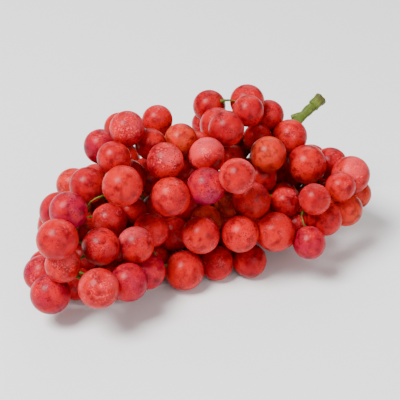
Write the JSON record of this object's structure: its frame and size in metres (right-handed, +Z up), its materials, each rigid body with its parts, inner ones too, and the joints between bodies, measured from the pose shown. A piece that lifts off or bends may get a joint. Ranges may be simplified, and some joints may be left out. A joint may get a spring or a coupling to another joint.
{
  "type": "bunch of grapes",
  "caption": "Bunch of red table grapes lying on its side: round berries in crowded sprays on a branched green stem with a bare cut stalk.",
  "frame": {"origin": "middle of the bunch's footprint box, on the surface that it lies on", "axes": "+Z up, +X along the bunch towards the shoulders and the cut stalk, +Y away from the side that shows in the picture"},
  "size_m": [0.2406, 0.1392, 0.1099],
  "materials": {
    "berry_skin": "satin",
    "green_stem": "matte"
  },
  "bodies": {
    "root": {"berries_01": "berry_skin", "berries_02": "berry_skin", "berries_03": "berry_skin", "berries_04": "berry_skin", "berries_05": "berry_skin", "berries_06": "berry_skin", "berries_07": "berry_skin", "berries_08": "berry_skin", "berries_09": "berry_skin", "berries_10": "berry_skin", "berries_11": "berry_skin", "berries_12": "berry_skin", "berries_13": "berry_skin", "berries_14": "berry_skin", "stem": "green_stem"}
  },
  "joints": []
}
